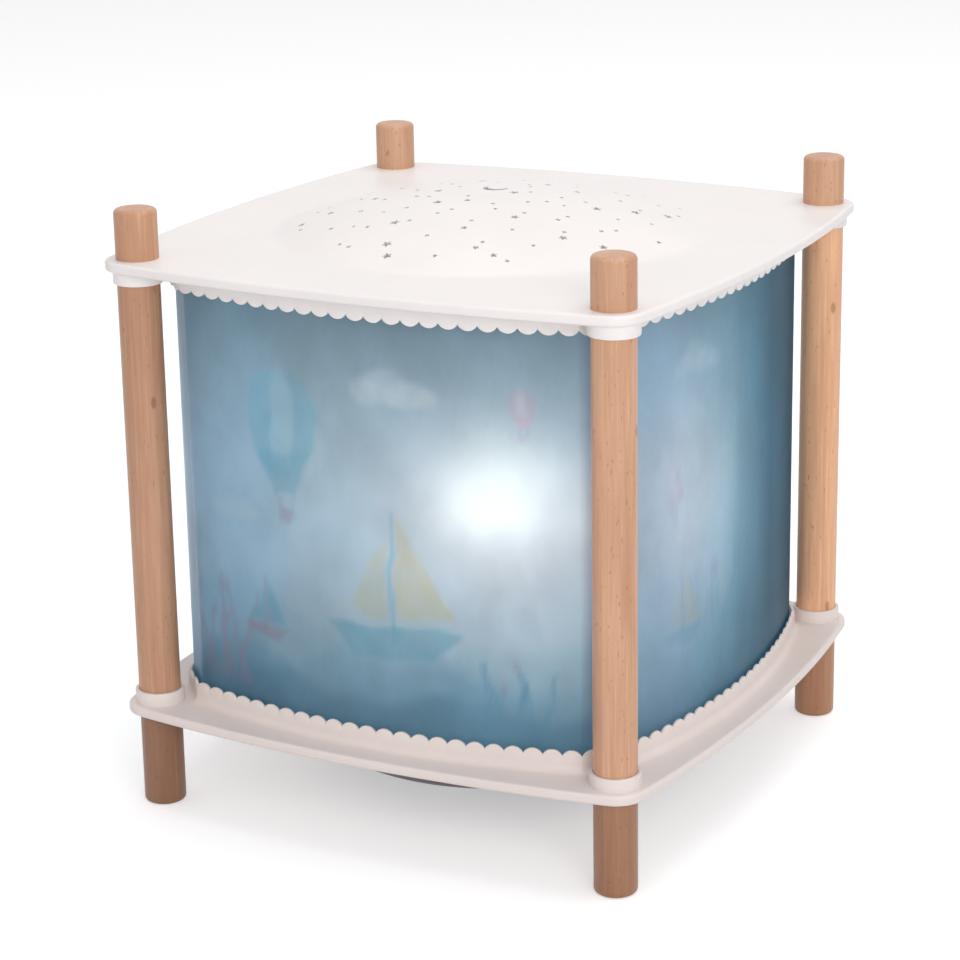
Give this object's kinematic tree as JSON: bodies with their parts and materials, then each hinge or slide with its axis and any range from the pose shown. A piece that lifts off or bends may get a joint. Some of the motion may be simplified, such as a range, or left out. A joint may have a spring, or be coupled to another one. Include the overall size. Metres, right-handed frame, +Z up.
{
  "type": "rotating motion lamp",
  "caption": "Square night light with a star-pierced dome, wooden posts, a printed shade and a motor-driven film drum turning round its bulb.",
  "frame": {"origin": "on the floor, midway between the four feet", "axes": "+Z up; the sides face X and Y; the button and charging inlet face -X"},
  "size_m": [0.174, 0.174, 0.175],
  "materials": {
    "white_plastic": "warm white moulded plastic, satin",
    "beech": "turned beech dowel, clear satin varnish",
    "shade_film": "translucent printed film, satin",
    "drum_film": "translucent printed film, satin",
    "clear_plastic": "pale moulded plastic, gloss",
    "bearing_plastic": "natural acetal, smooth",
    "frosted": "frosted diffuser",
    "led": "phosphor-coated light source",
    "grey_plastic": "dark mauve-grey moulded plastic",
    "black_plastic": "black moulded plastic",
    "battery_wrap": "shrink sleeve",
    "board_green": "solder mask on circuit board",
    "steel": "plain zinc-plated steel"
  },
  "bodies": {
    "root": {"upper_plate": "white_plastic", "lower_plate": "white_plastic", "upper_scallop_ring": "white_plastic", "lower_scallop_ring": "white_plastic", "lamp_column": "white_plastic", "bulb_socket": "white_plastic", "led_board": "white_plastic", "foot_near_right": "beech", "foot_far_right": "beech", "foot_far_left": "beech", "foot_near_left": "beech", "pillar_near_right": "beech", "pillar_far_right": "beech", "pillar_far_left": "beech", "pillar_near_left": "beech", "finial_near_right": "beech", "finial_far_right": "beech", "finial_far_left": "beech", "finial_near_left": "beech", "lower_stud_near_right": "steel", "lower_stud_far_right": "steel", "lower_stud_far_left": "steel", "lower_stud_near_left": "steel", "upper_stud_near_right": "steel", "upper_stud_far_right": "steel", "upper_stud_far_left": "steel", "upper_stud_near_left": "steel", "column_nut": "steel", "retaining_clip": "steel", "gear_motor": "steel", "charging_socket": "steel", "motor_screw_1": "steel", "motor_screw_2": "steel", "base_screw_1": "steel", "base_screw_2": "steel", "base_screw_3": "steel", "cover_screw_1": "steel", "cover_screw_2": "steel", "cover_screw_3": "steel", "shade_film": "shade_film", "thrust_washer": "bearing_plastic", "bulb_globe": "frosted", "led_1": "led", "led_2": "led", "led_3": "led", "base_housing": "grey_plastic", "base_cover": "grey_plastic", "battery_holder": "black_plastic", "power_switch": "black_plastic", "battery_cell": "battery_wrap", "circuit_board": "board_green"},
    "drum": {"drum_film": "drum_film", "drum_upper_ring": "clear_plastic", "drum_wheel": "clear_plastic", "drum_gear": "bearing_plastic", "hub_bush": "bearing_plastic"},
    "pinion": {"motor_pinion": "bearing_plastic", "motor_shaft": "steel"},
    "button": {"power_button": "white_plastic"}
  },
  "joints": [
    {"name": "drum_spin", "type": "hinge", "parent": "root", "child": "drum", "pos_m": [0, 0, 0.042], "axis": [0, 0, 1], "continuous": true},
    {"name": "pinion_spin", "type": "hinge", "parent": "root", "child": "pinion", "pos_m": [0, -0.024, 0.0369], "axis": [0, 0, 1], "continuous": true},
    {"name": "button_press", "type": "slide", "parent": "root", "child": "button", "axis": [1, 0, 0], "range_m": [0, 0.0008], "stiffness_N_per_m": 800, "springref_m": -0.0008}
  ],
  "couplings": [
    {"joint": "pinion_spin", "follows": "drum_spin", "ratio": -3}
  ]
}
